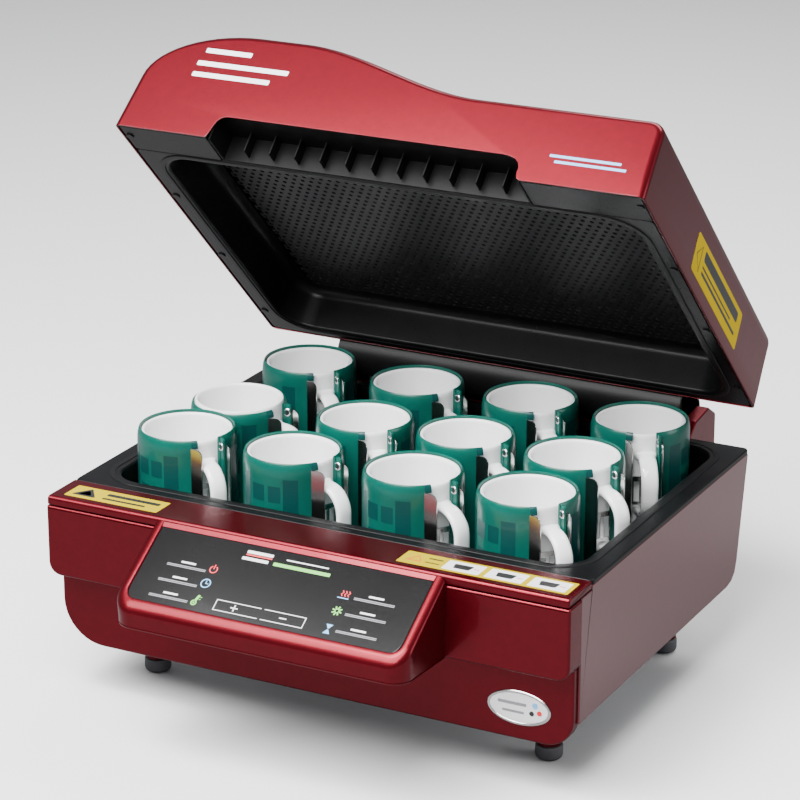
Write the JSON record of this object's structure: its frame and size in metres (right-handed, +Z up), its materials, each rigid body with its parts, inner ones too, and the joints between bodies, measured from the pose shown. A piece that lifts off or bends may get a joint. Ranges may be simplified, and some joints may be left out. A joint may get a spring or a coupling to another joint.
{
  "type": "mug heat press",
  "caption": "Tabletop vacuum heat press with a hinged wave-topped lid, a slanted touch console and a heated chamber of mugs held in silicone clamping wraps.",
  "frame": {"origin": "bottom centre of the open machine's bounding box, on the surface it stands on", "axes": "+Z up, +Y to the back (hinge side), +X to the right seen from the operator's side"},
  "size_m": [0.502, 0.5552, 0.5636],
  "materials": {
    "black_enamel": "satin black heat-proof enamel",
    "black_gasket": "smooth silicone",
    "black_plastic": "fine texture",
    "circuit_board": "solder mask",
    "clamp_steel": "polished stainless",
    "console_glass": "back-printed dark glass",
    "diffuser_black": "perforated, matt black",
    "fan_aluminium": "pressed",
    "green_silicone": "glossy green silicone",
    "heater_tube": "oxidised tube with ceramic ends",
    "hose_rubber": "smooth",
    "mineral_wool": "fibrous",
    "pad_rubber": "moulded grey",
    "pump_metal": "cast",
    "red_paint": "candy red metallic gloss",
    "rocker_plastic": "translucent red",
    "steel_fasteners": "zinc-plated",
    "white_glaze": "glossy white glaze",
    "zinc_steel": "zinc-plated sheet"
  },
  "bodies": {
    "base": {"bottom_pan": "zinc_steel", "side_panel_left": "red_paint", "side_panel_right": "red_paint", "rear_panel": "zinc_steel", "front_fascia": "red_paint", "front_ledge": "red_paint", "console_housing": "red_paint", "console_glass": "console_glass", "chamber_tub": "black_enamel", "chamber_gasket": "black_gasket", "vacuum_pump": "pump_metal", "vacuum_hose": "hose_rubber", "control_board": "circuit_board", "power_inlet": "black_plastic", "cooling_fan_frame": "black_plastic", "hinge_housing": "red_paint", "hinge_brackets": "zinc_steel", "hinge_pins": "steel_fasteners", "foot_posts": "red_paint", "foot_pads": "pad_rubber", "case_screws": "steel_fasteners", "clamp_plates": "clamp_steel", "clamp_latches": "clamp_steel", "mug_01": "white_glaze", "mug_wrap_01": "green_silicone", "mug_02": "white_glaze", "mug_wrap_02": "green_silicone", "mug_03": "white_glaze", "mug_wrap_03": "green_silicone", "mug_04": "white_glaze", "mug_wrap_04": "green_silicone", "mug_05": "white_glaze", "mug_wrap_05": "green_silicone", "mug_06": "white_glaze", "mug_wrap_06": "green_silicone", "mug_07": "white_glaze", "mug_wrap_07": "green_silicone", "mug_08": "white_glaze", "mug_wrap_08": "green_silicone", "mug_09": "white_glaze", "mug_wrap_09": "green_silicone", "mug_10": "white_glaze", "mug_wrap_10": "green_silicone", "mug_11": "white_glaze", "mug_wrap_11": "green_silicone", "mug_12": "white_glaze", "mug_wrap_12": "green_silicone"},
    "lid": {"lid_cover": "red_paint", "lid_inner_frame": "black_enamel", "lid_gasket": "black_gasket", "diffuser_plate": "diffuser_black", "heater_elements": "heater_tube", "lid_insulation": "mineral_wool", "hinge_neck": "black_enamel", "grip_insert": "black_plastic", "circulation_fan_motor": "pump_metal", "lid_screws": "steel_fasteners"},
    "rocker": {"power_switch_rocker": "rocker_plastic"},
    "cooling_fan": {"cooling_fan_rotor": "black_plastic"},
    "hot_air_fan": {"circulation_fan_impeller": "fan_aluminium"}
  },
  "joints": [
    {"name": "lid_hinge", "type": "hinge", "parent": "base", "child": "lid", "pos_m": [0, 0.23739, 0.199], "axis": [1, 0, 0], "range_deg": [0, 44.5]},
    {"name": "power_switch", "type": "hinge", "parent": "base", "child": "rocker", "pos_m": [-0.128, 0.1739, 0.108], "axis": [1, 0, 0], "range_deg": [0, 16]},
    {"name": "cooling_fan_spin", "type": "hinge", "parent": "base", "child": "cooling_fan", "pos_m": [0.13, 0.1739, 0.108], "axis": [0, 0.9823, -0.1873], "continuous": true},
    {"name": "hot_air_fan_spin", "type": "hinge", "parent": "lid", "child": "hot_air_fan", "pos_m": [-0.13, 0.11855, 0.38901], "axis": [0, 0.7017, 0.7125], "continuous": true}
  ]
}
